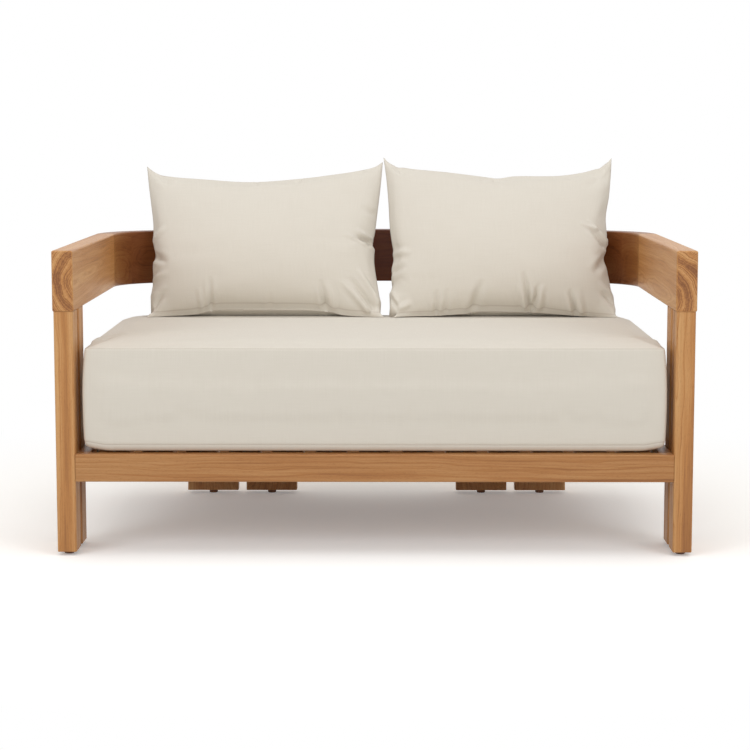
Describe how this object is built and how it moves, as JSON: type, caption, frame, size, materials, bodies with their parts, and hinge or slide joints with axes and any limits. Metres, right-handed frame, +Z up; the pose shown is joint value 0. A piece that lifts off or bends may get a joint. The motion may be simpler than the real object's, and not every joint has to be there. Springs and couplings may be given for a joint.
{
  "type": "patio loveseat",
  "caption": "Two-seat teak patio sofa with a curved band for arms and back on paired board legs, a thick bench cushion and lumbar pillows.",
  "frame": {"origin": "on the floor, at the middle of the overall width and depth", "axes": "+X to the right seen from the front, along the width; the front faces -Y; +Z up"},
  "size_m": [1.42, 0.9484, 0.8528],
  "materials": {
    "teak": "oiled teak, planed and sanded, satin",
    "beech_joinery": "plain beech dowels and loose tenons",
    "stainless_steel": "stainless steel",
    "nylon_glide": "moulded brown nylon",
    "seat_canvas": "woven outdoor canvas, off white",
    "pillow_canvas": "woven outdoor canvas, off white",
    "seat_foam": "open-cell foam wrapped in fibre",
    "pillow_fibre": "loose polyester fibre",
    "zip_tape": "woven tape with a moulded coil",
    "zip_metal": "dull nickel"
  },
  "bodies": {
    "root": {"arm_left": "teak", "arm_right": "teak", "back_rail": "teak", "band_tenons": "beech_joinery", "block_screws": "stainless_steel", "cleat_screws": "stainless_steel", "corner_left_front": "teak", "corner_left_rear": "teak", "corner_right_front": "teak", "corner_right_rear": "teak", "front_leg_left_aft": "teak", "front_leg_left_fore": "teak", "front_leg_right_aft": "teak", "front_leg_right_fore": "teak", "leg_dowels": "beech_joinery", "leg_glides": "nylon_glide", "rail_dowels": "beech_joinery", "rear_leg_left_inner": "teak", "rear_leg_left_outer": "teak", "rear_leg_right_inner": "teak", "rear_leg_right_outer": "teak", "rear_rail_screws": "stainless_steel", "seat_block_left": "teak", "seat_block_right": "teak", "seat_rail_front": "teak", "seat_rail_left": "teak", "seat_rail_rear": "teak", "seat_rail_right": "teak", "seat_stretcher": "teak", "side_rail_bolts": "stainless_steel", "side_rail_inserts": "stainless_steel", "slat_01": "teak", "slat_02": "teak", "slat_03": "teak", "slat_04": "teak", "slat_05": "teak", "slat_06": "teak", "slat_07": "teak", "slat_08": "teak", "slat_09": "teak", "slat_10": "teak", "slat_11": "teak", "slat_12": "teak", "slat_13": "teak", "slat_cleat_front": "teak", "slat_cleat_rear": "teak", "slat_screws": "stainless_steel"},
    "seat_cushion": {"seat_cushion_cover": "seat_canvas", "seat_cushion_core": "seat_foam", "seat_zip": "zip_tape"},
    "zip_slider": {"seat_zip_slider": "zip_metal"},
    "pillow_left": {"pillow_left_cover": "pillow_canvas", "pillow_left_fill": "pillow_fibre"},
    "pillow_right": {"pillow_right_cover": "pillow_canvas", "pillow_right_fill": "pillow_fibre"}
  },
  "joints": [
    {"name": "seat_cushion_lift", "type": "slide", "parent": "root", "child": "seat_cushion", "axis": [0, 0, 1], "range_m": [0, 0.47]},
    {"name": "pillow_left_lift", "type": "slide", "parent": "seat_cushion", "child": "pillow_left", "axis": [0, 0, 1], "range_m": [0, 0.3]},
    {"name": "pillow_right_lift", "type": "slide", "parent": "seat_cushion", "child": "pillow_right", "axis": [0, 0, 1], "range_m": [0, 0.3]},
    {"name": "seat_zip_slide", "type": "slide", "parent": "seat_cushion", "child": "zip_slider", "axis": [1, 0, 0], "range_m": [0, 0.848]}
  ]
}
